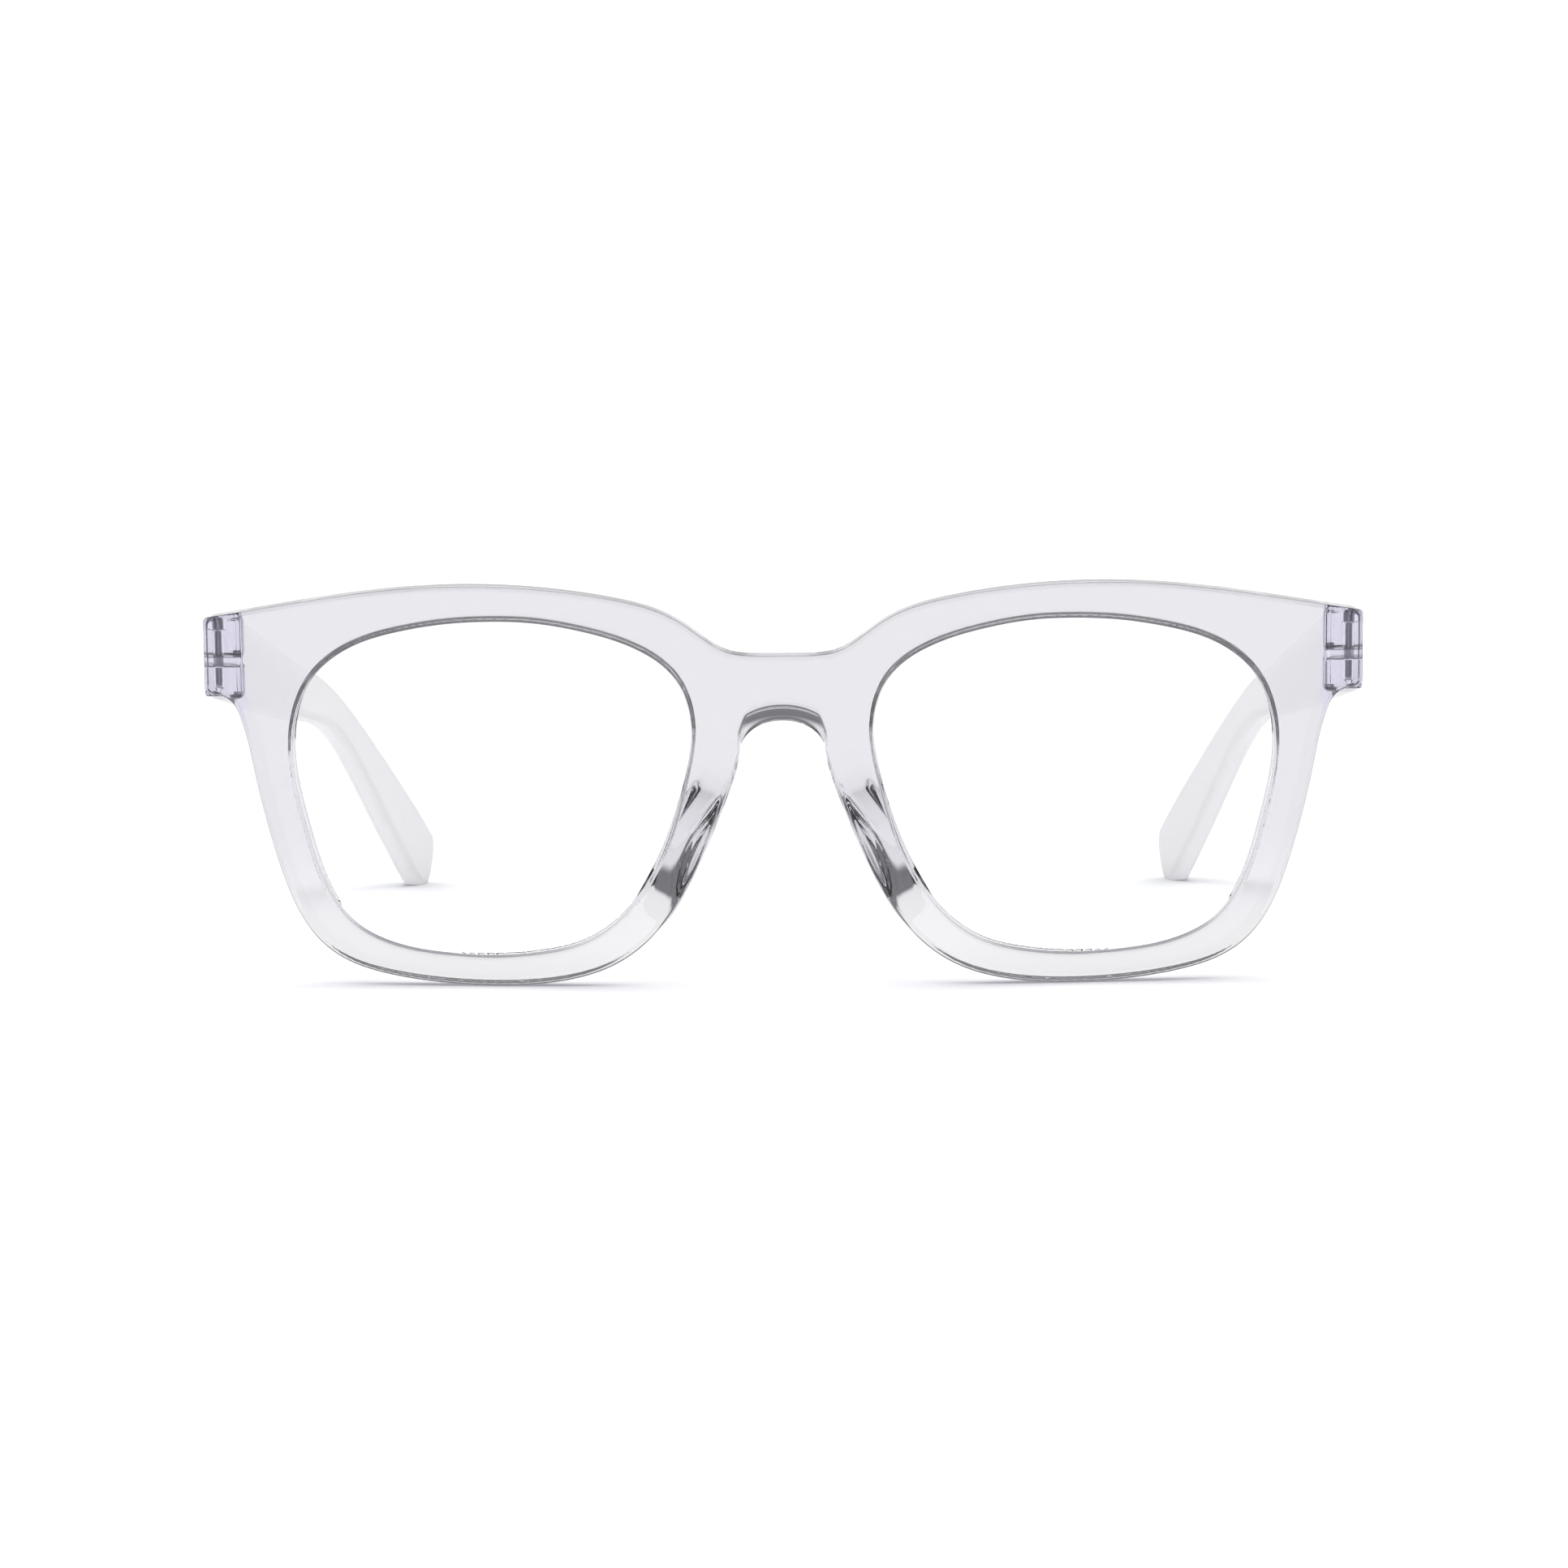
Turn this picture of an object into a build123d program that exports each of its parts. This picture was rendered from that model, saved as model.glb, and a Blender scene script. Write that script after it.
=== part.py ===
from build123d import *
import math
import os

# Clear plastic spectacles standing open on a flat surface, millimetres.
# +X is the wearer's left, -Y is forward (the side the lenses face), +Z is up.
# The finished pieces rest on z = 0, with the origin under the middle of the footprint.
#
# The front, lenses, screws and hinge tongues are drawn upright, with y = 0 at the
# middle of the front's forward face, then leaned forward about the X axis.
# The temple arm is drawn directly in the leaned position. Everything is then
# moved onto the resting plane. Only the left of each pair is described here.

# ---- front ------------------------------------------------------------------
LEAN = 5.0             # forward lean of the front at rest, degrees
BEND_R = 300.0         # plan radius of the forward face
BEND_Z = 24            # middle height of the bending cylinders
BEND_H = 90            # their height
FRONT_T = 4.2          # thickness of the front
TOP_END_SLOPE = -0.19  # z per x where the top edge meets the upper corner
LOW_START_SLOPE = 0.14  # z per x where the lower edge leaves the lower corner

# ---- lens and groove --------------------------------------------------------
LENS_X = 35.2          # lens centre from the centre line
LENS_Z = 24.5          # lens centre height
LENS_R = 130.0         # radius of the lens's forward surface
LENS_T = 1.8           # lens thickness
LENS_SET = 0.35        # lens apex behind the forward face
LENS_IN = 0.50         # how far the lens enters the groove
GROOVE_IN = 0.56       # groove depth
GROOVE_GAP = 0.04      # clearance on each side of the lens edge

# ---- hinge ------------------------------------------------------------------
HINGE_X = 68.45        # hinge axis from the centre line
HINGE_Y = 15.1         # hinge axis behind the forward face
LUG_R = 2.8            # rounding of the block's inner rear corner
BLOCK_IN = HINGE_X - LUG_R
BLOCK_OUT = 70.9       # outer side of the block
BLOCK_FORE = 9.0       # forward end of the block, inside the front
BLOCK_BOT = 33.95      # underside of the block at the axis
BLOCK_TOP = 43.65      # top of the block at the axis
BLOCK_SET = 0.8        # block kept at least this far behind the forward face
STOP_Y = HINGE_Y + 2.9  # end face of the temple
STOP_GAP = 0.1         # gap between block and temple end face
SLOT_Z = 38.44         # middle of the slot that takes the tongue
SLOT_H = 1.35          # slot height
SLOT_SIZE = 8          # slot width and depth, open at the rear and sides
SLOT_GAP = 0.12        # slot floor ahead of the tongue's end
TONGUE_T = 1.23        # tongue thickness
TONGUE_R = 2.35        # radius of the tongue's end
TONGUE_BACK = 6        # tongue length behind the axis
HOLE_R = 0.67          # clearance hole, upper block and tongue
HOLE_BOT, HOLE_TOP = 36.6, 44.6

# ---- screw ------------------------------------------------------------------
SHAFT_R = 0.62
SHAFT_END = 35.3       # lower end of the screw
SHAFT_CHAMFER = 0.3
HEAD_R = 1.0
HEAD_TOP = 43.45
HEAD_BOT = 42.3
HEAD_FILLET = 0.3
DRIVER_SLOT = (2.6, 0.32, 0.9)  # box centred on the top of the head
BLIND_R = SHAFT_R + 0.03        # narrower hole for the screw's lower end
BLIND_BOT = SHAFT_END - 0.15
BLIND_TIP_R = 0.05     # small end of the cone below the blind hole
BLIND_TIP_H = 0.55
CBORE_R = 1.06         # recess for the head
CBORE_BOT = HEAD_BOT - 0.04
CBORE_H = 3.0

# ---- temple -----------------------------------------------------------------
TEMPLE_START = (66.0, 17.0, 39.25)  # inner side at mid height, where distance is 0
TEMPLE_L = 141.4       # distance along the curve to the tip
# angle at the start, angle at the end, distances where the change begins and ends
FALL = (6.62, 31.9, 70.9, 111.5)      # downward, degrees
TURN_IN = (0.69, 10.38, 61.4, 110.2)  # inward, degrees
CURVE_STEP = 0.25      # step for following the curve
CORNER_MAX = 1.15      # largest corner radius of a section
CORNER_SHARE = 0.36    # corner radius as a share of thickness
TIP_SECTION = (TEMPLE_L + 1.0, 9.9, 3.1, 1.1)  # distance, height, thickness, corner
TIP_H = 9.86           # height of the rounded tip
TIP_R = 4.0            # rounding of the tip in side view

# ---- tables -----------------------------------------------------------------
# Half outline of the front, (x, z): top edge from the centre line outwards,
# straight outer side, lower edge from the outer side back to the centre line.
TOP_EDGE = [
    (0, 40.10), (4, 40.14), (6.2, 40.45), (8, 41.25), (10, 42.65), (12, 44.06),
    (14, 45.13), (17, 46.18), (21, 47.05), (26, 47.79), (32, 48.31), (38, 48.44),
    (44, 48.20), (50, 47.60), (56, 46.71), (62, 45.66), (66, 44.93), (69.6, 44.28),
]
SIDE_EDGE = [(70.6, 43.25), (70.6, 35.75)]
LOW_EDGE = [
    (69.85, 34.95), (68.3, 34.55), (66.95, 33.75), (66.1, 32.4), (65.29, 29.83),
    (64.47, 25.96), (63.65, 22.09), (62.69, 18.24), (61.59, 14.42), (60.26, 10.67),
    (58.46, 7.16), (55.85, 4.16), (52.49, 2.16), (48.66, 1.02), (44.74, 0.36),
    (40.79, -0.03), (36.85, -0.21), (32.90, -0.18), (28.93, 0.12), (25.02, 0.81),
    (21.26, 2.09), (17.87, 4.16), (15.06, 6.90), (12.75, 10.13), (10.82, 13.61),
    (9.17, 17.24), (7.72, 20.92), (6.39, 24.66), (5.35, 28.10), (4.55, 29.85),
    (3.1, 31.15), (1.5, 31.75), (0, 31.9),
]
# Lens opening, (x, z) every 15 degrees about the lens centre, from the outer side up.
OPENING = [
    (59.20, 24.50), (59.30, 30.96), (56.91, 37.04), (51.78, 41.08), (45.86, 42.96),
    (40.39, 43.88), (35.20, 44.20), (29.96, 44.05), (24.43, 43.16), (18.36, 41.34),
    (12.86, 37.40), (10.96, 30.99), (12.00, 24.50), (13.59, 18.71), (15.93, 13.38),
    (19.30, 8.60), (24.06, 5.20), (29.64, 3.74), (35.20, 3.27), (40.83, 3.49),
    (46.80, 4.40), (52.48, 7.22), (55.98, 12.50), (57.83, 18.44),
]
# Two points (x, z) whose line gives the slant of the nose pad.
PAD_LOW, PAD_HIGH = (14.7, 7.3), (6.06, 25.5)
# Nose pad sections, front to rear: centre, change of slant in degrees,
# outward part of the section's normal, length, width.
PAD_SECTIONS = [
    ((11.15, 3.4, 17.9), 0, 0, 21.0, 3.7),
    ((11.9, 7.2, 17.6), -1, 0.1, 18.8, 2.9),
    ((13.2, 10.4, 17.2), -2, 0.25, 15.6, 2.1),
]
# Temple sections: distance along the curve, height, thickness.
TEMPLE = [
    (-4.0, 10.1, 5.0), (0, 10.1, 5.0), (9, 9.75, 4.9), (20, 9.3, 4.6), (32, 8.75, 4.25),
    (45, 8.2, 3.95), (58, 7.6, 3.65), (70, 6.9, 3.4), (80, 6.25, 3.2), (90, 5.9, 3.1),
    (99, 6.1, 3.1), (108, 7.0, 3.1), (117, 8.1, 3.1), (126, 9.1, 3.1), (134, 9.7, 3.1),
]


# ---- shared helpers ---------------------------------------------------------
def across(shape):
    """The same shape on the other side of the centre line."""
    return shape.mirror(Plane.YZ)


def to_rest(shape):
    return shape.rotate(Axis.X, LEAN)


def upright(points):
    return [Vector(x, 0, z) for x, z in points]


def prism(points, y_fore, y_aft):
    face = Face(Wire([Spline(*upright(points), periodic=True)]))
    return extrude(face.moved(Pos(0, y_fore, 0)), amount=y_aft - y_fore, dir=(0, 1, 0))


def offset_points(points, distance):
    """Move a loop of points outwards, square to the line between each one's neighbours."""
    moved = []
    for i, (x, z) in enumerate(points):
        x_before, z_before = points[i - 1]
        x_after, z_after = points[(i + 1) % len(points)]
        dx, dz = x_after - x_before, z_after - z_before
        length = math.hypot(dx, dz)
        moved.append((x + dz / length * distance, z - dx / length * distance))
    return moved


def bent_wall(outer_r, inner_r):
    """Upright ring about the axis that the front is bent around."""
    wall = Cylinder(outer_r, BEND_H) - Cylinder(inner_r, BEND_H)
    return wall.moved(Pos(0, BEND_R, BEND_Z))


def rod(radius, bottom, top):
    return Cylinder(radius, top - bottom).moved(Pos(0, 0, (top + bottom) / 2))


# ---- front ------------------------------------------------------------------
def outline_face():
    top_end = Vector(1, 0, TOP_END_SLOPE)
    low_start = Vector(-1, 0, -LOW_START_SLOPE)
    down = Vector(0, 0, -1)
    side_top, side_bottom = upright(SIDE_EDGE)
    top_points, low_points = upright(TOP_EDGE), upright(LOW_EDGE)

    top = Spline(*top_points, tangents=[Vector(1, 0, 0), top_end])
    upper_corner = Spline(top_points[-1], side_top, tangents=[top_end, down])
    side = Line(side_top, side_bottom)
    lower_corner = Spline(side_bottom, low_points[0], tangents=[down, low_start])
    low = Spline(*low_points, tangents=[low_start, Vector(-1, 0, 0)])
    half = [top, upper_corner, side, lower_corner, low]
    return Face(Wire.combine(half + [across(edge) for edge in half])[0])


def front_plate():
    plate = extrude(outline_face().moved(Pos(0, -2, 0)), amount=22, dir=(0, 1, 0))
    plate = (plate & bent_wall(BEND_R, BEND_R - FRONT_T)).solids()[0]
    opening = prism(OPENING, -3, 25)
    return (plate - opening - across(opening)).solids()[0]


def hinge_block():
    # plan view: square outside, round at the inner rear corner
    end_y = STOP_Y - STOP_GAP
    plan = make_face(
        Line((BLOCK_IN, BLOCK_FORE), (BLOCK_OUT, BLOCK_FORE))
        + Line((BLOCK_OUT, BLOCK_FORE), (BLOCK_OUT, end_y))
        + Line((BLOCK_OUT, end_y), (HINGE_X, end_y))
        + RadiusArc((HINGE_X, end_y), (BLOCK_IN, HINGE_Y), -LUG_R)
        + Line((BLOCK_IN, HINGE_Y), (BLOCK_IN, BLOCK_FORE))
    )
    body = extrude(plan.moved(Pos(0, 0, 25)), amount=30, dir=(0, 0, 1))

    # side view: top and underside come level once the front leans
    slope = math.tan(math.radians(LEAN))
    aft = 20.0

    def side_point(y, z_at_axis):
        return (0, y, z_at_axis - slope * (y - HINGE_Y))

    profile = make_face(Polyline(
        side_point(BLOCK_FORE, BLOCK_BOT), side_point(aft, BLOCK_BOT),
        side_point(aft, BLOCK_TOP), side_point(BLOCK_FORE, BLOCK_TOP), close=True))
    slab = extrude(profile.moved(Pos(60, 0, 0)), amount=15, dir=(1, 0, 0))
    block = (body & slab).solids()[0]
    return (block & bent_wall(BEND_R - BLOCK_SET, 200)).solids()[0]


def nose_pad():
    """Pad slanted along the nasal edge of the rim, flaring outward to the rear."""
    slant = math.degrees(math.atan2(PAD_HIGH[1] - PAD_LOW[1], PAD_HIGH[0] - PAD_LOW[0]))
    sections = []
    for centre, change, outward, length, width in PAD_SECTIONS:
        angle = math.radians(slant + change)
        plane = Plane(origin=centre, x_dir=(math.cos(angle), 0, math.sin(angle)),
                      z_dir=(outward, 1, 0))
        sections.append(plane * SlotOverall(length, width))
    return loft(sections).solids()[0]


def hinge_cuts(side):
    slot_y = -TONGUE_R - SLOT_GAP + SLOT_SIZE / 2
    cuts = [
        Box(SLOT_SIZE, SLOT_SIZE, SLOT_H).moved(Pos(0, slot_y, SLOT_Z)),
        rod(HOLE_R, HOLE_BOT, HOLE_TOP),
        rod(BLIND_R, BLIND_BOT, SLOT_Z),
        Cone(BLIND_TIP_R, BLIND_R, BLIND_TIP_H).moved(Pos(0, 0, BLIND_BOT - BLIND_TIP_H / 2)),
        rod(CBORE_R, CBORE_BOT, CBORE_BOT + CBORE_H),
    ]
    return [cut.moved(Pos(side * HINGE_X, HINGE_Y, 0)) for cut in cuts]


def front_frame(groove):
    front = front_plate()
    block, pad = hinge_block(), nose_pad()
    for side_block, side_pad in ((block, pad), (across(block), across(pad))):
        front = front + side_block
        front = front + side_pad
        front = front.solids()[0]
    for cut in hinge_cuts(1) + hinge_cuts(-1) + [groove, across(groove)]:
        front = front - cut
    return front.solids()[0]


# ---- lens -------------------------------------------------------------------
def lens_shape(edge_in, grow):
    """Opening widened by edge_in, cut from a spherical shell thickened by grow each side."""
    angle = math.asin(LENS_X / BEND_R)
    rearward = Vector(-math.sin(angle), math.cos(angle), 0)
    on_face = Vector(LENS_X, BEND_R - math.sqrt(BEND_R ** 2 - LENS_X ** 2), LENS_Z)
    centre = on_face + rearward * (LENS_SET + LENS_R)
    shell = Sphere(LENS_R + grow) - Sphere(LENS_R - LENS_T - grow)
    shell = shell.moved(Pos(centre.X, centre.Y, centre.Z))
    return (prism(offset_points(OPENING, edge_in), -6, 20) & shell).solids()[0]


# ---- screw ------------------------------------------------------------------
def screw(side):
    shaft = rod(SHAFT_R, SHAFT_END, HEAD_BOT)
    shaft = chamfer(shaft.edges().sort_by(Axis.Z)[0], SHAFT_CHAMFER)
    head = rod(HEAD_R, HEAD_BOT, HEAD_TOP)
    head = fillet(head.edges().sort_by(Axis.Z)[-1], HEAD_FILLET)
    body = shaft + head
    body = body - Box(*DRIVER_SLOT).moved(Pos(0, 0, HEAD_TOP))
    return body.solids()[0].moved(Pos(side * HINGE_X, HINGE_Y, 0))


# ---- temple -----------------------------------------------------------------
def eased_angle(bend, distance):
    start, end, begins, ends = bend
    t = min(1.0, max(0.0, (distance - begins) / (ends - begins)))
    return math.radians(start + (end - start) * t * t * (3 - 2 * t))


def direction(distance):
    fall, turn = eased_angle(FALL, distance), eased_angle(TURN_IN, distance)
    return Vector(-math.sin(turn), math.cos(fall) * math.cos(turn),
                  -math.sin(fall) * math.cos(turn))


def outward_from(along):
    return along.cross(Vector(0, 0, 1)).normalized()


def inner_point(distance):
    """Point on the temple's inner side, found by stepping along the curve."""
    count = max(1, int(abs(distance) / CURVE_STEP))
    step = distance / count
    point = Vector(*TEMPLE_START)
    for i in range(count):
        point = point + direction((i + 0.5) * step) * step
    return point


def temple_section(distance, height, thickness, corner):
    along = direction(distance)
    outward = outward_from(along)
    centre = inner_point(distance) + outward * (thickness / 2)
    plane = Plane(origin=centre, x_dir=outward, z_dir=along)
    return plane * RectangleRounded(thickness, height, corner)


def temple_arm():
    sections = [temple_section(distance, height, thickness,
                               min(CORNER_MAX, CORNER_SHARE * thickness))
                for distance, height, thickness in TEMPLE]
    sections.append(temple_section(*TIP_SECTION))
    arm = loft(sections).solids()[0]

    # round the tip in side view and trim it to length
    along = direction(TEMPLE_L)
    outward = outward_from(along)
    side_view = Plane(origin=inner_point(TEMPLE_L) - outward * 6, x_dir=along, z_dir=outward)

    def through(sketch):
        return extrude(side_view * sketch, amount=20, dir=outward)

    waste = (through(Pos(8, 0) * Rectangle(30, 30))
             - through(Pos(-15, 0) * RectangleRounded(30, TIP_H, TIP_R)))
    tip_zone = through(Pos(-TIP_R + 10, 0) * Rectangle(20, 30))
    return (arm - (waste & tip_zone)).solids()[0]


def hinge_tongue():
    inner, outer = HINGE_X - TONGUE_R, HINGE_X + TONGUE_R
    back = HINGE_Y + TONGUE_BACK
    plan = make_face(
        Line((inner, HINGE_Y), (inner, back))
        + Line((inner, back), (outer, back))
        + Line((outer, back), (outer, HINGE_Y))
        + ThreePointArc((outer, HINGE_Y), (HINGE_X, HINGE_Y - TONGUE_R), (inner, HINGE_Y))
    )
    plan = plan.moved(Pos(0, 0, SLOT_Z - TONGUE_T / 2))
    tongue = extrude(plan, amount=TONGUE_T, dir=(0, 0, 1)).solids()[0]
    return tongue - rod(HOLE_R, SLOT_Z - 3, SLOT_Z + 3).moved(Pos(HINGE_X, HINGE_Y, 0))


def temple():
    # the end face is cut parallel to the hinge axis, then the tongue is added
    end_cut = Box(20, 20, 60).moved(Pos(HINGE_X, STOP_Y - 10, 38))
    arm = (temple_arm() - to_rest(end_cut)).solids()[0]
    return (arm + to_rest(hinge_tongue())).solids()[0]


# ---- assembly ---------------------------------------------------------------
def surface_points(shape):
    return shape.tessellate(0.01, 0.1)[0]


lens = lens_shape(LENS_IN, 0)
front = to_rest(front_frame(lens_shape(GROOVE_IN, GROOVE_GAP)))
temple_left = temple()

# stand the front on z = 0 and centre the footprint on y = 0
front_points = surface_points(front)
lift = -min(point.Z for point in front_points)
fore = min(point.Y for point in front_points)
aft = max(point.Y for point in surface_points(temple_left))
placing = Pos(0, -round((fore + aft) / 2, 2), lift)

# the resting plane trims whatever part of the temple falls below it
floor = Box(400, 400, 10).moved(Pos(0, 0, -5))
temple_left = (temple_left.moved(placing) - floor).solids()[0]

pieces = {
    "front_frame": front.moved(placing),
    "lens_left": to_rest(lens).moved(placing),
    "lens_right": to_rest(across(lens)).moved(placing),
    "temple_left": temple_left,
    "temple_right": across(temple_left),
    "hinge_screw_left": to_rest(screw(1)).moved(placing),
    "hinge_screw_right": to_rest(screw(-1)).moved(placing),
}
os.makedirs("parts", exist_ok=True)
for name, shape in pieces.items():
    export_step(shape, f"parts/{name}.step")
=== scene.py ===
# A pair of clear plastic spectacles standing open on a white floor. +X runs across the face,
# -Y is the front and +Z is up; the scene is in metres. The moulded front is worked out in
# millimetres in its own leaning frame: x across, w backwards and v up along the front.
import math
from types import SimpleNamespace

import bmesh
import bpy
import numpy as np
import openvdb as vdb
from mathutils import Matrix, Vector
from mathutils.kdtree import KDTree


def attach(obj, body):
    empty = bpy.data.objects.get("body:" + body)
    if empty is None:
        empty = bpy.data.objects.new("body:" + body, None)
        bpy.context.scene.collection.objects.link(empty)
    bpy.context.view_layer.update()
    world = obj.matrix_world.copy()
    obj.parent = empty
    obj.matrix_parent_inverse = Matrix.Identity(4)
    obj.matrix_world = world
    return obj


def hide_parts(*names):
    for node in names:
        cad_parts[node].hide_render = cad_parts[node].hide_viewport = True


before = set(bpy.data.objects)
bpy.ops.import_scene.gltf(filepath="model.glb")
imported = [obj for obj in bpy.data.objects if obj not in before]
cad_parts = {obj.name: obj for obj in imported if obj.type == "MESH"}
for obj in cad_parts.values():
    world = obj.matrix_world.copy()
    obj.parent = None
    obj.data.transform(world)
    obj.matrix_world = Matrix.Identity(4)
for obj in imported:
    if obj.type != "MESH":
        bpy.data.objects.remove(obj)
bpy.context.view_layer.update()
scene = bpy.context.scene
scene.view_settings.view_transform = "Standard"
scene.view_settings.look = "None"


# ---- node helpers ---------------------------------------------------------
def add_node(tree, kind, inputs=None, **settings):
    """Adds a shader node; each input takes a value, a socket or a node's first output."""
    node = tree.nodes.new("ShaderNode" + kind)
    for key, value in settings.items():
        setattr(node, key, value)
    for key, value in (inputs or {}).items():
        if isinstance(value, bpy.types.Node):
            value = value.outputs[0]
        if isinstance(value, bpy.types.NodeSocket):
            tree.links.new(value, node.inputs[key])
        else:
            node.inputs[key].default_value = value
    return node


def math_node(tree, operation, *values):
    return add_node(tree, "Math", dict(enumerate(values)), operation=operation)


def mix_shader(tree, factor, first, second):
    return add_node(tree, "MixShader", {0: factor, 1: first, 2: second})


def fade(tree, value, start, end):
    """Rises smoothly from 0 at start to 1 at end."""
    return add_node(tree, "MapRange", {"From Min": start, "From Max": end, "Value": value},
                    interpolation_type="SMOOTHSTEP")


def colour_ramp(tree, value, first, last):
    ramp = add_node(tree, "ValToRGB", {"Fac": value})
    ramp.color_ramp.elements[0].color = (*first, 1)
    ramp.color_ramp.elements[1].color = (*last, 1)
    return ramp


def new_material(name):
    material = bpy.data.materials.new(name)
    material.use_nodes = True
    material.node_tree.nodes.clear()
    return material, material.node_tree


# ---- materials ------------------------------------------------------------
def clear_plastic(name, tint, absorb, density, roughness, shadow):
    """Refracts, tints with depth and lets soft light through; returns it and its main nodes."""
    material, tree = new_material(name)
    place = add_node(tree, "TexCoord").outputs["Object"]
    flow = add_node(tree, "TexNoise", {"Vector": place, "Scale": 55.0, "Detail": 2.0})
    fine = add_node(tree, "TexNoise", {"Vector": place, "Scale": 900.0, "Detail": 3.0})
    uneven = add_node(tree, "MapRange", {
        "Value": fine, "To Min": roughness, "To Max": roughness + 0.02})
    ripple = add_node(tree, "Bump", {"Strength": 0.02, "Distance": 0.0004, "Height": flow})
    body = add_node(tree, "BsdfPrincipled", {
        "Base Color": (*tint, 1), "Transmission Weight": 1.0, "IOR": 1.50,
        "Roughness": uneven, "Normal": ripple})
    # shadow and diffuse rays pass straight through
    passing = add_node(tree, "BsdfTransparent", {"Color": (*shadow, 1)})
    rays = add_node(tree, "LightPath").outputs
    soft = math_node(tree, "MAXIMUM", rays["Is Shadow Ray"], rays["Is Diffuse Ray"])
    surface = mix_shader(tree, soft, body, passing)
    depth = add_node(tree, "VolumeAbsorption", {"Color": (*absorb, 1), "Density": density})
    add_node(tree, "OutputMaterial", {"Surface": surface, "Volume": depth})
    return material, SimpleNamespace(place=place, flow=flow, body=body, surface=surface)


def tint_towards(tree, body, colour, factor):
    """Mixes another colour over whatever colours the body so far."""
    base = body.inputs["Base Color"]
    mix = add_node(tree, "Mix", {
        "A": tuple(base.default_value), "B": (*colour, 1), "Factor": factor}, data_type="RGBA")
    if base.is_linked:
        tree.links.new(base.links[0].from_socket, mix.inputs["A"])
    tree.links.new(mix.outputs["Result"], base)


def front_plastic():
    """Clear plastic with its own tint at the hinge blocks, painted lightening near the floor and
    painted shade at the edges.
    """
    material, parts = clear_plastic(
        "clear_plastic", tint=(0.690, 0.681, 0.695), absorb=(0.412, 0.38, 0.512),
        density=25.0, roughness=0.0, shadow=(0.56, 0.56, 0.58))
    tree = material.node_tree
    across = add_node(tree, "SeparateXYZ", {0: parts.place}).outputs["X"]
    at_block = add_node(tree, "MapRange", {
        "Value": math_node(tree, "ABSOLUTE", across), "From Min": 0.0649, "From Max": 0.0653})
    tint_towards(tree, parts.body, (0.674, 0.658, 0.740), at_block)
    height = add_node(tree, "SeparateXYZ", {0: parts.place}).outputs["Z"]
    # painted light: the plastic is lighter near the floor, offsetting the floor's contact shadow
    # seen through the rim bottom
    painted_foot_light = fade(tree, height, start=0.020, end=0.003)
    tint_towards(tree, parts.body, (0.805, 0.80, 0.797), painted_foot_light)
    facing = add_node(tree, "LayerWeight", {"Blend": 0.5}).outputs["Facing"]
    # painted shade: darker where the surface turns away from view, standing in for the dark
    # lines refraction gives at the edges
    painted_edge_shade = fade(tree, facing, start=0.20, end=0.75)
    tint_towards(tree, parts.body, (0.36, 0.37, 0.40), painted_edge_shade)
    return material


def temple_plastic():
    """Clear plastic with a milky haze and a faint painted glow standing in for light scattered
    inside it.
    """
    material, parts = clear_plastic(
        "clear_plastic_arm", tint=(0.985, 0.985, 1.0), absorb=(0.86, 0.86, 0.87),
        density=12.0, roughness=0.12, shadow=(0.36, 0.36, 0.38))
    tree = material.node_tree
    haze_amount, haze_spread = 0.70, 0.06
    colour = (0.95, 0.945, 0.945, 1)
    translucent = add_node(tree, "BsdfTranslucent", {"Color": colour})
    diffuse = add_node(tree, "BsdfDiffuse", {"Color": colour})
    # painted glow: the haze emits a little light of its own, standing in for light scattered
    # inside the plastic
    painted_glow = add_node(tree, "Emission", {"Color": colour, "Strength": 0.20})
    haze_and_glow = add_node(tree, "AddShader", {0: mix_shader(tree, 0.3, translucent, diffuse), 1: painted_glow})
    amount = add_node(tree, "MapRange", {
        "Value": parts.flow, "To Min": haze_amount - haze_spread,
        "To Max": haze_amount + haze_spread})
    hazy_glowing = mix_shader(tree, amount, parts.body, haze_and_glow)
    # the hazy plastic all but vanishes when seen through the clear front
    passed = add_node(tree, "LightPath").outputs["Transmission Depth"]
    behind = math_node(tree, "GREATER_THAN", passed, 1.5)
    vanish = math_node(tree, "MULTIPLY", behind, 0.93)
    seen = mix_shader(tree, vanish, hazy_glowing, add_node(tree, "BsdfTransparent"))
    tree.links.new(seen.outputs[0], parts.surface.inputs[1])
    return material


def lens_material():
    """Thin clear lens with a faint bluish sheen, seen by camera rays only."""
    material, tree = new_material("lens_clear")
    place = add_node(tree, "TexCoord").outputs["Object"]
    noise = add_node(tree, "TexNoise", {"Vector": place, "Scale": 40.0})
    tint = colour_ramp(tree, noise, (0.993, 0.995, 0.990), (0.998, 0.998, 0.997))
    clear = add_node(tree, "BsdfTransparent", {"Color": tint})
    sheen = add_node(tree, "BsdfGlossy", {"Color": (0.72, 0.78, 1.0, 1), "Roughness": 0.02})
    fresnel = add_node(tree, "Fresnel", {"IOR": 1.22})
    camera_ray = add_node(tree, "LightPath").outputs["Is Camera Ray"]
    amount = math_node(tree, "MULTIPLY", fresnel.outputs[0], camera_ray)
    add_node(tree, "OutputMaterial", {"Surface": mix_shader(tree, amount, clear, sheen)})
    return material


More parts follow.
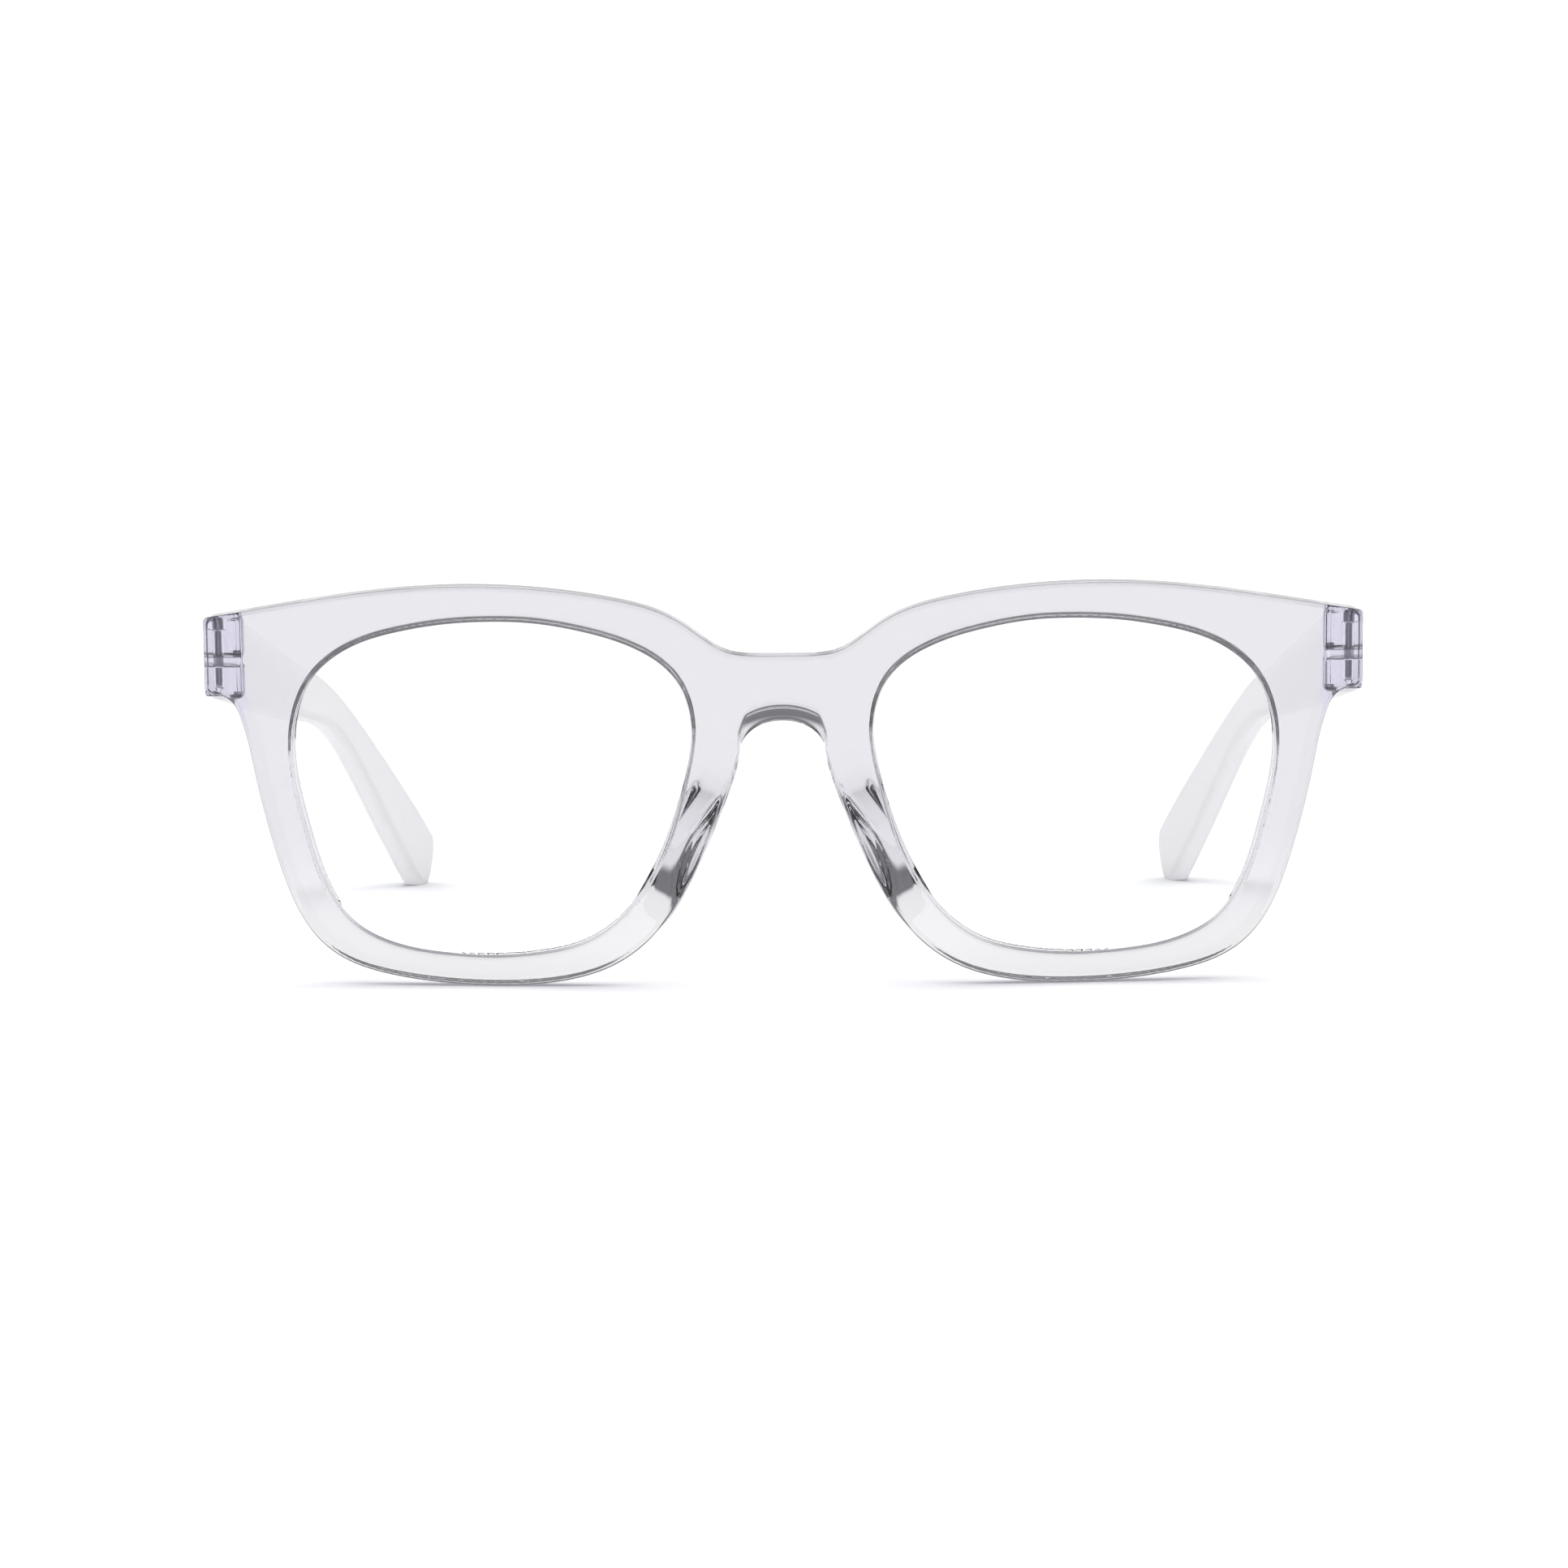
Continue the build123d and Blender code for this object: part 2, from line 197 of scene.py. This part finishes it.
def steel_material():
    """Steel with a fine grain, squeezed along z."""
    material, tree = new_material("screw_steel")
    place = add_node(tree, "TexCoord").outputs["Object"]
    squeezed = add_node(tree, "Mapping", {"Vector": place, "Scale": (1, 1, 14)})
    grain = add_node(tree, "TexNoise", {"Vector": squeezed, "Scale": 2500.0})
    roughness = add_node(tree, "MapRange", {"Value": grain, "To Min": 0.22, "To Max": 0.42})
    colour = colour_ramp(tree, grain, (0.36, 0.36, 0.37), (0.62, 0.61, 0.62))
    body = add_node(tree, "BsdfPrincipled", {
        "Metallic": 1.0, "Roughness": roughness, "Base Color": colour})
    add_node(tree, "OutputMaterial", {"Surface": body})
    return material


plastic = front_plastic()
temple_mat = temple_plastic()
lens_mat = lens_material()
steel_mat = steel_material()


def dress_pieces():
    """Gives each CAD piece its material and smooth shading with sharp creases."""
    by_word = {"lens": lens_mat, "temple": temple_mat, "screw": steel_mat}
    for name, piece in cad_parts.items():
        mesh = piece.data
        mesh.materials.clear()
        mesh.materials.append(next((m for word, m in by_word.items() if word in name), plastic))
        for polygon in mesh.polygons:
            polygon.use_smooth = True
        mesh.set_sharp_from_angle(angle=math.radians(28))


dress_pieces()

# ---- the moulded front: sizes in mm ---------------------------------------
LEAN = math.radians(5.0)  # the top leans towards the front
LIFT, FOOT_SHIFT = 0.0438, 74.03  # raise and forward shift when placed in the scene
BEND_R, FRONT_T = 300.0, 4.2  # radius of the curved front face, and thickness
EDGE_R, OPEN_R = 0.55, 0.36  # rounding of the outer edge and of the lens opening
LENS_X, LENS_V = 35.2, 24.5  # middle of the lens
LENS_REACH = 130.35  # from the front face back to the centre of the lens sphere
HINGE_X, HINGE_W = 68.45, 15.1  # axis of the hinge screw
BLOCK_R, BLOCK_OUT = 2.8, 70.4  # hinge block: radius about the axis, and outer side
PAD_LOW, PAD_HIGH = (14.7, 7.3), (6.06, 25.5)  # (x, v) points setting the nose pad's slant

# half outline, (x, v), +X side: along the top outwards, then along the bottom back inwards
TOP_EDGE = [
    (0, 40.10), (4, 40.14), (6.2, 40.45), (8, 41.25), (10, 42.65), (12, 44.06),
    (14, 45.13), (17, 46.18), (21, 47.05), (26, 47.79), (32, 48.31), (38, 48.44),
    (44, 48.20), (50, 47.60), (56, 46.71), (62, 45.66), (66, 44.93), (69.1, 44.37)]
LOW_EDGE = [
    (69.35, 34.95), (67.95, 34.55), (66.8, 33.75), (66.1, 32.4), (65.29, 29.83),
    (64.47, 25.96), (63.65, 22.09), (62.69, 18.24), (61.59, 14.42), (60.26, 10.67),
    (58.46, 7.16), (55.85, 4.16), (52.49, 2.16), (48.66, 1.02), (44.74, 0.36),
    (40.79, -0.03), (36.85, -0.21), (32.90, -0.18), (28.93, 0.12), (25.02, 0.81),
    (21.26, 2.09), (17.87, 4.16), (15.06, 6.90), (12.75, 10.13), (10.82, 13.61),
    (9.17, 17.24), (7.72, 20.92), (6.39, 24.66), (5.35, 28.10), (4.55, 29.85),
    (3.1, 31.15), (1.5, 31.75), (0, 31.9)]
# upright outer side joining them
SIDE_X, SIDE_TOP, SIDE_LOW = 70.1, 43.25, 35.75
# lens opening on the +X side, (x, v), a closed loop
OPENING = [
    (59.20, 24.50), (59.30, 30.96), (56.91, 37.04), (51.78, 41.08), (45.86, 42.96),
    (40.39, 43.88), (35.20, 44.20), (29.96, 44.05), (24.43, 43.16), (18.36, 41.34),
    (12.86, 37.40), (10.96, 30.99), (12.00, 24.50), (13.59, 18.71), (15.93, 13.38),
    (19.30, 8.60), (24.06, 5.20), (29.64, 3.74), (35.20, 3.27), (40.83, 3.49),
    (46.80, 4.40), (52.48, 7.22), (55.98, 12.50), (57.83, 18.44)]


# ---- plane curves ---------------------------------------------------------
def spline(points, start=None, end=None, closed=False, step=0.12):
    """Samples a smooth cubic through points, periodic or with the given end directions."""
    knots = np.array(points, float)
    if closed:
        knots = np.vstack([knots, knots[:1]])
    span = np.hypot(*np.diff(knots, axis=0).T)
    slope = np.diff(knots, axis=0) / span[:, None]
    count = len(knots)
    system = np.zeros((count, count))
    target = np.zeros((count, 2))
    for i in range(1, count - 1):
        system[i, i - 1:i + 2] = span[i], 2 * (span[i - 1] + span[i]), span[i - 1]
        target[i] = 3 * (span[i] * slope[i - 1] + span[i - 1] * slope[i])
    if closed:
        system[0, 0], system[0, -1] = 1, -1
        system[-1, [0, 1, -2]] = 2 * (span[-1] + span[0]), span[-1], span[0]
        target[-1] = 3 * (span[0] * slope[-1] + span[-1] * slope[0])
    else:
        system[0, 0] = system[-1, -1] = 1
        target[0] = np.array(start) / np.hypot(*start)
        target[-1] = np.array(end) / np.hypot(*end)
    tangent = np.linalg.solve(system, target)
    pieces = []
    for i in range(count - 1):
        t = np.linspace(0, 1, max(2, int(span[i] / step)), endpoint=False)[:, None]
        pieces.append((2 * t ** 3 - 3 * t ** 2 + 1) * knots[i]
                      + (t ** 3 - 2 * t ** 2 + t) * span[i] * tangent[i]
                      + (-2 * t ** 3 + 3 * t ** 2) * knots[i + 1]
                      + (t ** 3 - t ** 2) * span[i] * tangent[i + 1])
    if not closed:
        pieces.append(knots[-1:])
    return np.vstack(pieces)


def half_outline():
    """Outer edge on the +X side, from the top of the bridge round to its underside."""
    inward, outward, down = (-1, -0.14), (1, -0.19), (0, -1)
    top = spline(TOP_EDGE, (1, 0), outward)
    top_corner = spline([TOP_EDGE[-1], (69.83, 44.0), (SIDE_X, SIDE_TOP)],
                        outward, down, step=0.08)
    side = np.array([(SIDE_X, v) for v in np.arange(SIDE_TOP, SIDE_LOW, -0.12)])
    low_corner = spline([(SIDE_X, SIDE_LOW), (69.89, 35.19), LOW_EDGE[0]],
                        down, inward, step=0.08)
    low = spline(LOW_EDGE, inward, (-1, 0))
    return np.vstack([top[:-1], top_corner[:-1], side, low_corner[:-1], low])


class Curve:
    """A finely sampled curve in (x, v); an open one is closed along x = 0 to test insides."""

    def __init__(self, samples, closed):
        self.samples = samples
        self.closed = closed
        self.tree = KDTree(len(samples))
        for i, (x, v) in enumerate(samples):
            self.tree.insert((x, v, 0.0), i)
        self.tree.balance()

    def contains(self, points):
        """Even-odd test."""
        # points on the symmetry plane are nudged off the closing line
        points = points + [0 if self.closed else 1e-6, 0]
        inside = np.zeros(len(points), bool)
        order = np.argsort(points[:, 1], kind="stable")
        heights = points[order, 1]
        for (x0, v0), (x1, v1) in zip(self.samples, np.roll(self.samples, -1, axis=0)):
            if v0 == v1:
                continue
            first, last = np.searchsorted(heights, [min(v0, v1), max(v0, v1)])
            if last > first:
                hit = order[first:last]
                crossing = x0 + (points[hit, 1] - v0) * (x1 - x0) / (v1 - v0)
                inside[hit] ^= points[hit, 0] < crossing
        return inside

    def to_segment(self, points, index):
        """Distance and offset from the segment starting at index, and its direction."""
        count = len(self.samples)
        if self.closed:
            first, second = index % count, (index + 1) % count
        else:
            first, second = np.clip(index, 0, count - 2), np.clip(index + 1, 1, count - 1)
        start = self.samples[first]
        along = self.samples[second] - start
        t = np.clip(((points - start) * along).sum(1) / (along ** 2).sum(1), 0, 1)
        offset = points - start - t[:, None] * along
        return np.sqrt((offset ** 2).sum(1)), offset, along

    def distance(self, points):
        """Signed distance, negative inside, and its gradient."""
        nearest = np.fromiter((self.tree.find((x, v, 0.0))[1] for x, v in points),
                              dtype=np.int64, count=len(points))
        gap, offset, along = self.to_segment(points, nearest - 1)
        next_gap, next_offset, next_along = self.to_segment(points, nearest)
        closer = next_gap < gap
        gap = np.where(closer, next_gap, gap)
        offset = np.where(closer[:, None], next_offset, offset)
        along = np.where(closer[:, None], next_along, along)
        sign = np.where(self.contains(points), -1.0, 1.0)
        normal = np.c_[along[:, 1], -along[:, 0]] / np.sqrt((along ** 2).sum(1))[:, None]
        side = np.sign((offset * normal).sum(1) * sign)
        # on the curve itself the offset has no direction, so its normal stands in
        gradient = np.where(gap[:, None] > 1e-4,
                            offset / np.maximum(gap, 1e-9)[:, None] * sign[:, None],
                            normal * np.where(side == 0, 1, side)[:, None])
        return gap * sign, gradient


# ---- the front as a signed distance, on the +X side -----------------------
def common(a, b, radius):
    """Intersection with its edge rounded."""
    u, w = np.maximum(a + radius, 0), np.maximum(b + radius, 0)
    return np.minimum(np.maximum(a, b), -radius) + np.sqrt(u * u + w * w)


def joined(a, b, radius):
    """Union with its corner filled."""
    return -common(-a, -b, radius)


def smooth(t):
    return t * t * (3 - 2 * t)


def rim(rho, x, v, outline, opening):
    """Curved plate cut to the outline and pierced by the lens opening."""
    slab = np.abs(rho - (BEND_R - FRONT_T / 2)) - FRONT_T / 2
    # the bridge's underside is scooped towards the front
    scoop, scoop_depth = 2.1, 3.3
    forward = np.clip(1 - (BEND_R - rho) / scoop_depth, 0, 1)
    across = np.clip((6.3 - x) / 2.0, 0, 1)
    height = np.clip((v - 28.6) / 2.4, 0, 1) * np.clip((37.5 - v) / 2.5, 0, 1)
    mask = smooth(across) * smooth(height)
    cut = outline + scoop * (1 - (1 - forward) ** 3) * mask
    # the factor evens out the scooped field's steeper slope
    edge = np.where(mask > 0, np.maximum(cut * 0.86, outline), outline)
    return common(common(slab, edge, EDGE_R), -opening, OPEN_R)


def nose_pad(rho, x, w, v, outline, opening):
    """Slanting rounded bar behind the rim, thinning and shifting towards the back."""
    slant = math.atan2(PAD_HIGH[1] - PAD_LOW[1], PAD_HIGH[0] - PAD_LOW[0])
    cos, sin = math.cos(slant), math.sin(slant)
    k = np.clip((w - 3.4) / 7.0, -0.4, 1.1)  # progress backwards
    mid_x, mid_v = 11.15 + 2.05 * k * (0.5 + 0.5 * k), 17.9 - 0.7 * k
    half_length, half_width = 11.2 - 1.6 * k, 1.95 - 0.75 * k
    along = (x - mid_x) * cos + (v - mid_v) * sin
    aside = -(x - mid_x) * sin + (v - mid_v) * cos
    beyond = np.maximum(np.abs(along) - (half_length - half_width), 0)
    bar = np.sqrt(beyond ** 2 + aside ** 2) - half_width
    # it stands out most in its middle and runs out at both ends
    reach = 3.2 + 6.2 * np.clip(1 - ((along + 0.6) / 12.2) ** 2, 0, 1) ** 2.2
    # 0.94 and 0.80 even out the slopes of the tapering sides and the curved back
    pad = common(bar * 0.94, np.maximum((w - reach) * 0.80, 2.6 - w), 0.9)
    pad = np.maximum(pad, rho - (BEND_R - 1.2))
    # seen from the front it stays behind the rim
    pad = common(pad, outline + 0.02, 0.7)
    return common(pad, -opening - 0.1, 0.6)


def hinge_block(rho, x, v, dx, dw):
    """Block behind the outer end, its inner rear corner round about the screw axis."""
    front_w, mid_v, half_height = 9.5, 38.8, 4.85
    round_corner = np.where((dx < 0) & (dw > 0), np.sqrt(dx * dx + dw * dw) - BLOCK_R, -9.0)
    plan = common(HINGE_X - BLOCK_R - x, x - BLOCK_OUT, 0.45)
    plan = common(plan, dw - BLOCK_R, 0.35)
    plan = np.maximum(np.maximum(plan, round_corner), front_w - w_of(dw))
    # undoing the lean keeps its top and bottom level
    level = v + math.tan(LEAN) * dw
    block = common(plan, np.abs(level - mid_v) - half_height, 0.45)
    return np.maximum(block, rho - (BEND_R - 1.0))


def w_of(dw):
    """Depth from the distance behind the screw axis."""
    return dw + HINGE_W


def hinge_slot(x, w, v):
    """Level slot, open to the back, for the temple's tongue."""
    mid_v, half_height, front_w, inner_x = 38.44, 0.675, 12.63, 64.5
    slot = np.maximum(np.abs(v - mid_v) - half_height, front_w - w)
    return np.maximum(slot, inner_x - x)


def screw_hole(v, dx, dw):
    """Stepped hole down the screw axis, with a head recess on top and a conical end."""
    r = np.sqrt(dx * dx + dw * dw)
    shank_r, thread_r, head_r = 0.68, 0.66, 1.06
    shank_v, thread_v, head_v = 36.9, 35.15, 42.26  # bottom of each
    hole = np.maximum(r - shank_r, shank_v - v)
    hole = np.minimum(hole, np.maximum(r - thread_r, thread_v - v))
    cone = (r - thread_r - (v - thread_v) * 1.05) * 0.7
    hole = np.minimum(hole, np.maximum(cone, np.maximum(34.5 - v, v - 35.2)))
    return np.minimum(hole, np.maximum(r - head_r, head_v - v))


def lens_groove(x, w, v, opening):
    """Groove round the opening, following the sphere of the lens."""
    sphere_r, half_width, groove_depth = 129.1, 0.96, 0.58
    turn = math.asin(LENS_X / BEND_R)
    mid_x = LENS_X - math.sin(turn) * LENS_REACH
    mid_w = BEND_R - math.sqrt(BEND_R ** 2 - LENS_X ** 2) + math.cos(turn) * LENS_REACH
    r = np.sqrt((x - mid_x) ** 2 + (w - mid_w) ** 2 + (v - LENS_V) ** 2)
    return common(np.abs(r - sphere_r) - half_width, opening - groove_depth, 0.2)


def front_distance(x, w, v, outline, opening):
    """The whole front, given the plane distances to its outline and opening."""
    rho = np.sqrt(x * x + (BEND_R - w) ** 2)
    dx, dw = x - HINGE_X, w - HINGE_W
    solid = rim(rho, x, v, outline, opening)
    solid = joined(solid, nose_pad(rho, x, w, v, outline, opening), 1.7)
    solid = joined(solid, hinge_block(rho, x, v, dx, dw), 0.25)
    solid = common(solid, -hinge_slot(x, w, v), 0.12)
    solid = common(solid, -screw_hole(v, dx, dw), 0.06)
    return common(solid, -lens_groove(x, w, v, opening), 0.2)


# ---- meshing the front ----------------------------------------------------
def settle(points, outline, opening):
    """Moves points onto the surface in two Newton steps."""
    flat = np.ascontiguousarray(points[:, [0, 2]])
    fields = [curve.distance(flat) for curve in (outline, opening)]
    start = points

    def field(p):
        move = p - start
        near = [d + move[:, 0] * g[:, 0] + move[:, 2] * g[:, 1] for d, g in fields]
        return front_distance(p[:, 0], p[:, 1], p[:, 2], *near)

    probe, longest = 0.008, 0.12
    for _ in range(2):
        value = field(points)
        gradient = np.zeros_like(points)
        for axis in range(3):
            shift = np.zeros(3)
            shift[axis] = probe
            gradient[:, axis] = (field(points + shift) - field(points - shift)) / (2 * probe)
        steepness = np.maximum((gradient ** 2).sum(1), 0.25)
        step = -(value / steepness)[:, None] * gradient
        length = np.linalg.norm(step, axis=1)
        step *= np.minimum(1, longest / np.maximum(length, 1e-9))[:, None]
        points = points + step
    return points


def front_surface(voxel):
    """Vertices (x, w, v) and quads of both mirrored halves."""
    xs = np.arange(0, 71.6 + voxel / 2, voxel)
    ws = np.arange(-0.6, 18.5, voxel)
    vs = np.arange(-0.9, 49.2, voxel)
    grid_x, grid_v = np.meshgrid(xs, vs, indexing="ij")
    flat = np.c_[grid_x.ravel(), grid_v.ravel()]
    curves = Curve(half_outline(), False), Curve(spline(OPENING, closed=True), True)
    near = [c.distance(flat)[0].reshape(grid_x.shape)[:, None, :] for c in curves]
    half = front_distance(xs[:, None, None], ws[None, :, None], vs[None, None, :], *near)
    half = half.astype(np.float32)
    full = np.concatenate([half[:0:-1], half], axis=0)
    grid = vdb.FloatGrid()
    grid.background = 3.0
    grid.copyFromArray(np.ascontiguousarray(np.clip(full, -3, 3)))
    raw, quads = grid.convertToQuads(isovalue=0.0)
    raw = np.array(raw, float) * voxel + [-xs[-1], ws[0], vs[0]]
    points = raw.copy()
    points[:, 0] = np.abs(points[:, 0])
    for _ in range(2):
        points = settle(points, *curves)
    points[:, 0] *= np.where(raw[:, 0] < 0, -1.0, 1.0)
    points[np.abs(raw[:, 0]) < 1e-6, 0] = 0
    return points, np.array(quads)


def build_front():
    """Leans the front, places it in the scene and puts it in the CAD front's place."""
    points, quads = front_surface(0.15)
    x, w, v = points.T
    cos, sin = math.cos(LEAN), math.sin(LEAN)
    placed = np.c_[x, w * cos - v * sin - FOOT_SHIFT, w * sin + v * cos + LIFT] / 1000
    mesh = bpy.data.meshes.new("front_moulding")
    mesh.vertices.add(len(placed))
    mesh.vertices.foreach_set("co", placed.ravel())
    mesh.loops.add(quads.size)
    mesh.loops.foreach_set("vertex_index", quads.ravel().astype(np.int32))
    mesh.polygons.add(len(quads))
    mesh.polygons.foreach_set("loop_start", np.arange(0, quads.size, 4, dtype=np.int32))
    mesh.update(calc_edges=True)
    mesh.validate()
    moulding = bpy.data.objects.new("front_moulding", mesh)
    scene.collection.objects.link(moulding)
    bm = bmesh.new()
    bm.from_mesh(mesh)
    bmesh.ops.recalc_face_normals(bm, faces=bm.faces)
    for face in bm.faces:
        face.smooth = True
    bm.to_mesh(mesh)
    bm.free()
    mesh.materials.append(plastic)
    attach(moulding, "front")
    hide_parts("front_frame")


build_front()


# ---- floor, light, camera -------------------------------------------------
def build_floor():
    half, drop = 6.0, 0.00002  # lies just below the spectacles
    mesh = bpy.data.meshes.new("floor")
    corners = [(-half, -half, 0), (half, -half, 0), (half, half, 0), (-half, half, 0)]
    mesh.from_pydata(corners, [], [(0, 1, 2, 3)])
    floor = bpy.data.objects.new("floor", mesh)
    scene.collection.objects.link(floor)
    floor.location.z = -drop
    material, tree = new_material("floor_white")
    white = add_node(tree, "BsdfDiffuse", {"Color": (0.92, 0.92, 0.925, 1)})
    add_node(tree, "OutputMaterial", {"Surface": white})
    mesh.materials.append(material)


def build_world():
    """A dim studio with a white backdrop low behind and a light strip high behind."""
    world = bpy.data.worlds.new("studio")
    scene.world = world
    world.use_nodes = True
    tree = world.node_tree
    tree.nodes.clear()
    place = add_node(tree, "TexCoord").outputs["Generated"]
    direction = add_node(tree, "SeparateXYZ", {0: place}).outputs
    up, back = direction["Z"], direction["Y"]
    backdrop = math_node(tree, "MULTIPLY", fade(tree, up, 0.30, 0.17),
                         fade(tree, back, 0.35, 0.75))
    # the strip gives the curved edges their highlights
    band = math_node(tree, "MULTIPLY", fade(tree, up, 0.56, 0.60), fade(tree, up, 0.74, 0.70))
    strip = math_node(tree, "MULTIPLY", band, fade(tree, back, 0.10, 0.25))
    colour = add_node(tree, "Mix", {
        "A": (0.19, 0.192, 0.21, 1), "B": (1, 1, 1, 1),
        "Factor": math_node(tree, "MAXIMUM", backdrop, strip)}, data_type="RGBA")
    sky = add_node(tree, "Background", {"Color": colour.outputs["Result"], "Strength": 1.16})
    add_node(tree, "OutputWorld", {"Surface": sky})


def build_sun():
    """Very soft light from above, slightly behind."""
    light = bpy.data.lights.new("overhead", "SUN")
    light.energy = 3.4
    light.angle = math.radians(130)
    sun = bpy.data.objects.new("overhead", light)
    scene.collection.objects.link(sun)
    sun.rotation_euler = (math.radians(-14), 0, 0)
    sun.visible_transmission = False
    sun.visible_glossy = False


def build_camera():
    lens = bpy.data.cameras.new("camera")
    camera = bpy.data.objects.new("camera", lens)
    scene.collection.objects.link(camera)
    lens.lens = 114.6
    lens.sensor_width = 36.0
    lens.clip_start = 0.01
    lens.clip_end = 50
    eye = Vector((0.0074, -0.67403, 0.0647))
    aim = Vector((0.00013, -0.07403, 0.02448))
    roll = Matrix.Rotation(math.radians(-0.433), 4, "Z")
    turn = (aim - eye).to_track_quat("-Z", "Y").to_matrix().to_4x4()
    camera.matrix_world = Matrix.Translation(eye) @ turn @ roll
    scene.camera = camera


build_floor()
build_world()
build_sun()
build_camera()
